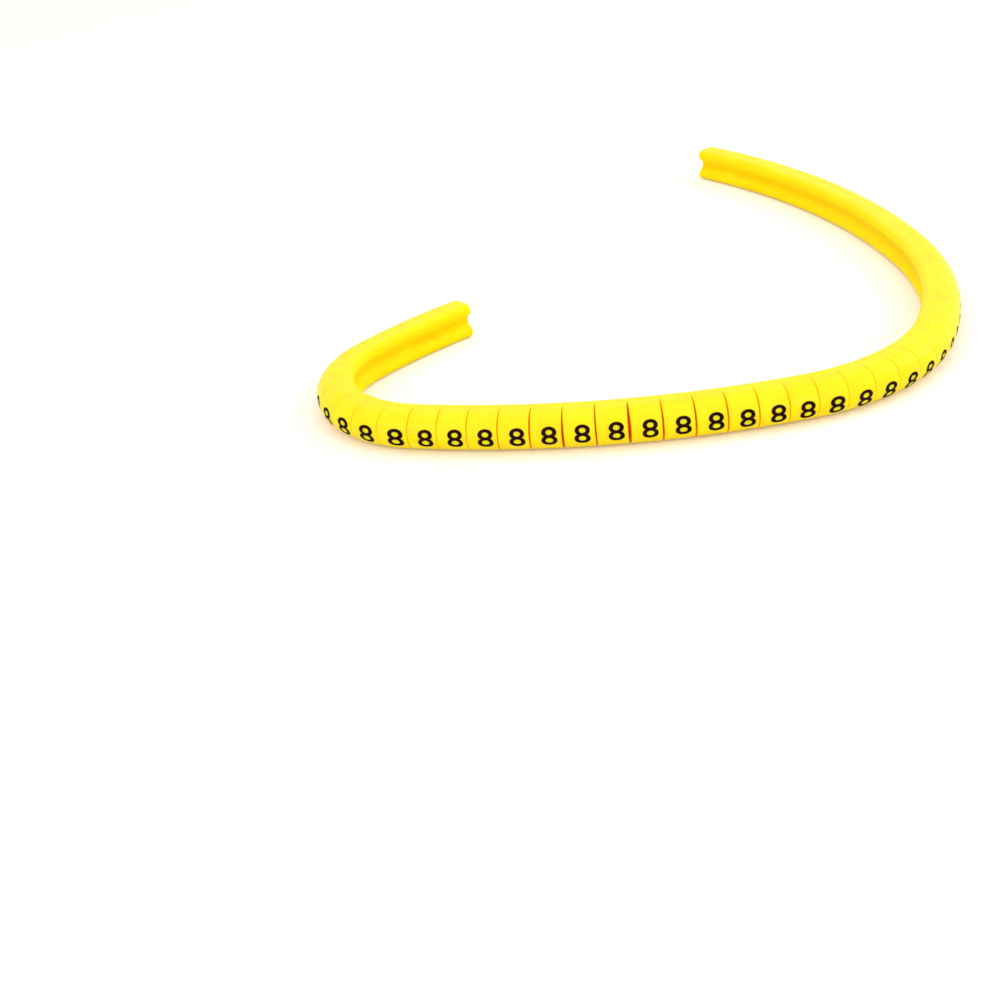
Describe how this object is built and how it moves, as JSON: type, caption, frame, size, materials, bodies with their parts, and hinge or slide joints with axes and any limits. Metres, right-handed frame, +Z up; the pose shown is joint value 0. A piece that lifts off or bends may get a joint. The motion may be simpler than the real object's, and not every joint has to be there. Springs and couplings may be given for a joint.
{
  "type": "cable marker",
  "caption": "Curled strip of soft plastic cable marker sleeves: a hollow, grooved profile, part-cut at even steps so that each sleeve tears off and slides over a wire.",
  "frame": {"origin": "centre of the curl's bounds, on the surface that it lies on", "axes": "+Z up across the strip's width, +Y along the curl's longer side, away from the long front run"},
  "size_m": [0.1094, 0.1314, 0.0062],
  "materials": {
    "soft_pvc": "satin",
    "print_ink": "matte"
  },
  "bodies": {
    "root": {"marker_strip": "soft_pvc"}
  },
  "joints": []
}
